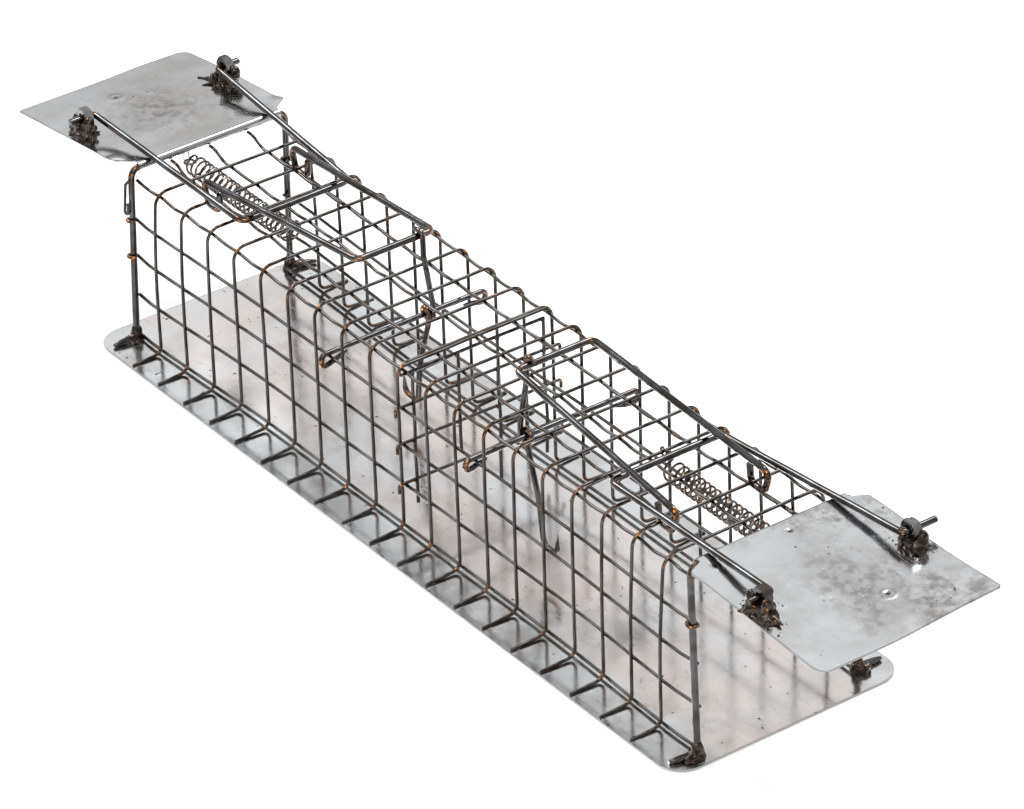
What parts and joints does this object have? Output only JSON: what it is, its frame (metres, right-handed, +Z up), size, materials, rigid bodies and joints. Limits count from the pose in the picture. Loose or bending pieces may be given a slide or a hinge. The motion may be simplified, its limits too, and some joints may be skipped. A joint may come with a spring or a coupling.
{
  "type": "live catch trap",
  "caption": "Wire mesh live catch trap on a sheet base, with a spring-closed flap door, wire bails and a bait hook trigger at each end.",
  "frame": {"origin": "middle of the base plate, on the surface the trap stands on", "axes": "+X along the cage towards the right door, +Y across the cage, +Z up"},
  "size_m": [0.5684, 0.117, 0.1029],
  "materials": {
    "galvanised_base": "bright zinc sheet with faint spangle, smudges and scratches",
    "door_sheet": "bright sheet, scratched and smudged",
    "mesh_wire": "drawn wire, dull grey brown with bright highlights",
    "frame_wire": "drawn wire, smooth, grey with a brown tarnish",
    "nut_steel": "plain hexagon nut, worn edges",
    "weld_bead": "rough dark weld metal with rust",
    "spring_steel": "drawn spring wire"
  },
  "bodies": {
    "cage": {"base_plate": "galvanised_base", "portal_left": "frame_wire", "portal_right": "frame_wire", "arch_01": "mesh_wire", "arch_02": "mesh_wire", "arch_03": "mesh_wire", "arch_04": "mesh_wire", "arch_05": "mesh_wire", "arch_06": "mesh_wire", "arch_07": "mesh_wire", "arch_08": "mesh_wire", "arch_09": "mesh_wire", "arch_10": "mesh_wire", "arch_11": "mesh_wire", "arch_12": "mesh_wire", "arch_13": "mesh_wire", "arch_14": "mesh_wire", "arch_15": "mesh_wire", "arch_16": "mesh_wire", "arch_17": "mesh_wire", "arch_18": "mesh_wire", "arch_19": "mesh_wire", "roof_wires": "mesh_wire", "side_wires_front": "mesh_wire", "side_wires_rear": "mesh_wire", "partition_bars": "mesh_wire", "partition_drops": "mesh_wire", "axle_left": "frame_wire", "axle_right": "frame_wire", "foot_welds_left": "weld_bead", "foot_welds_right": "weld_bead", "spring_left": "spring_steel", "spring_right": "spring_steel"},
    "left_door": {"door_left": "door_sheet", "lug_nut_left_front": "nut_steel", "lug_nut_left_rear": "nut_steel", "lug_welds_left": "weld_bead"},
    "left_door_bail": {"door_bail_left": "frame_wire"},
    "left_latch_bail": {"latch_bail_left": "frame_wire"},
    "left_trigger": {"trigger_left": "frame_wire"},
    "right_door": {"door_right": "door_sheet", "lug_nut_right_front": "nut_steel", "lug_nut_right_rear": "nut_steel", "lug_welds_right": "weld_bead"},
    "right_door_bail": {"door_bail_right": "frame_wire"},
    "right_latch_bail": {"latch_bail_right": "frame_wire"},
    "right_trigger": {"trigger_right": "frame_wire"}
  },
  "joints": [
    {"name": "left_door_hinge", "type": "hinge", "parent": "cage", "child": "left_door", "pos_m": [-0.198, 0, 0.0866], "axis": [0, -1, 0], "range_deg": [0, 75], "deforming": ["spring_left"]},
    {"name": "left_door_bail_swing", "type": "hinge", "parent": "left_door", "child": "left_door_bail", "pos_m": [-0.239, 0, 0.09306], "axis": [0, -1, 0], "range_deg": [0, 95]},
    {"name": "left_latch_bail_swing", "type": "hinge", "parent": "cage", "child": "left_latch_bail", "pos_m": [-0.16, 0, 0.0816], "axis": [0, -1, 0], "range_deg": [0, 144]},
    {"name": "left_trigger_tilt", "type": "hinge", "parent": "cage", "child": "left_trigger", "pos_m": [-0.052, 0, 0.06258], "axis": [0, 1, 0], "range_deg": [0, 20]},
    {"name": "right_door_hinge", "type": "hinge", "parent": "cage", "child": "right_door", "pos_m": [0.198, 0, 0.0866], "axis": [0, 1, 0], "range_deg": [0, 79], "deforming": ["spring_right"]},
    {"name": "right_door_bail_swing", "type": "hinge", "parent": "right_door", "child": "right_door_bail", "pos_m": [0.239, 0, 0.09306], "axis": [0, 1, 0], "range_deg": [0, 95]},
    {"name": "right_latch_bail_swing", "type": "hinge", "parent": "cage", "child": "right_latch_bail", "pos_m": [0.16, 0, 0.0816], "axis": [0, 1, 0], "range_deg": [0, 144]},
    {"name": "right_trigger_tilt", "type": "hinge", "parent": "cage", "child": "right_trigger", "pos_m": [0.052, 0, 0.06258], "axis": [0, -1, 0], "range_deg": [0, 20]}
  ],
  "couplings": [
    {"joint": "left_latch_bail_swing", "follows": "left_door_hinge", "ratio": 1.92},
    {"joint": "left_trigger_tilt", "follows": "left_door_hinge", "ratio": 0.266},
    {"joint": "right_latch_bail_swing", "follows": "right_door_hinge", "ratio": 1.822},
    {"joint": "right_trigger_tilt", "follows": "right_door_hinge", "ratio": 0.253}
  ]
}
